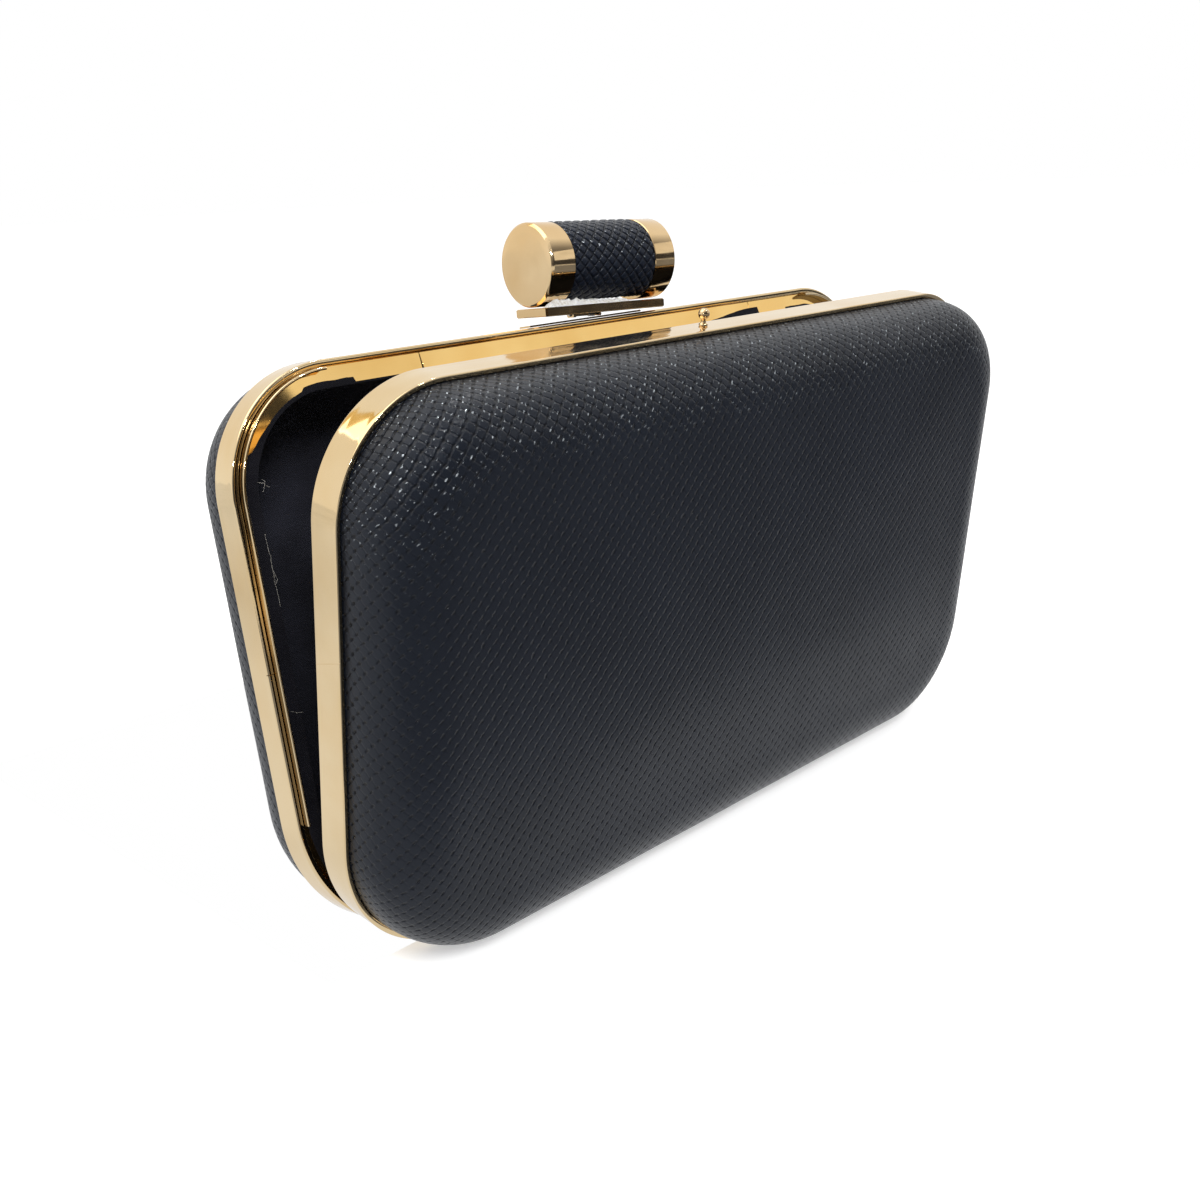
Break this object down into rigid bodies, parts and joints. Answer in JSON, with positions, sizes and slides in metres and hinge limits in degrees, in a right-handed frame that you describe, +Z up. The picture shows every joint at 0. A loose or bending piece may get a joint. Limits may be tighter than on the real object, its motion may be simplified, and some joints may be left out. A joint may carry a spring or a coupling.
{
  "type": "box clutch purse",
  "caption": "Hard-case box clutch: two domed leather-covered halves in polished metal rims, hinged along the bottom, with a cylinder clasp on the top edge.",
  "frame": {"origin": "middle of the footprint, on the surface the open case stands on", "axes": "+X along the hinge and the long side, +Y from the front half to the back half, +Z up"},
  "size_m": [0.18, 0.0612, 0.1227],
  "materials": {
    "rim_gold": "mirror polished",
    "clasp_gold": "mirror polished",
    "black_leather": "cross-hatch embossed, semi-matt",
    "black_lining": "matt",
    "moulded_core": "moulded",
    "dried_glue": "dried, lumpy",
    "pin_steel": "drawn wire"
  },
  "bodies": {
    "front_half": {"front_rim": "rim_gold", "front_shell": "moulded_core", "front_cover": "black_leather", "front_lining": "black_lining", "ball_stud": "clasp_gold", "hinge_pin_left": "pin_steel", "hinge_pin_right": "pin_steel"},
    "back_half": {"back_rim": "rim_gold", "back_shell": "moulded_core", "back_cover": "black_leather", "back_lining": "black_lining", "guide_lip_left": "rim_gold", "guide_lip_right": "rim_gold", "lock_bar": "rim_gold", "clasp_base": "clasp_gold", "clasp_ear_left": "clasp_gold", "clasp_ear_right": "clasp_gold", "clasp_pin": "pin_steel", "clasp_spring": "pin_steel"},
    "clasp": {"clasp_plate": "clasp_gold", "knob_core": "moulded_core", "knob_wrap": "black_leather", "knob_cap_left": "clasp_gold", "knob_cap_right": "clasp_gold", "glue_bead": "dried_glue"}
  },
  "joints": [
    {"name": "case_hinge", "type": "hinge", "parent": "front_half", "child": "back_half", "pos_m": [0, -0.0005, 0.00206], "axis": [-1, 0, 0], "range_deg": [-14.8, 75]},
    {"name": "clasp_rock", "type": "hinge", "parent": "back_half", "child": "clasp", "pos_m": [-0.0012, 0.01724, 0.10403], "axis": [-0.997, 0.0712, 0.0305], "range_deg": [0, 10], "stiffness_Nm_per_rad": 0.08, "springref_deg": -22.92}
  ]
}
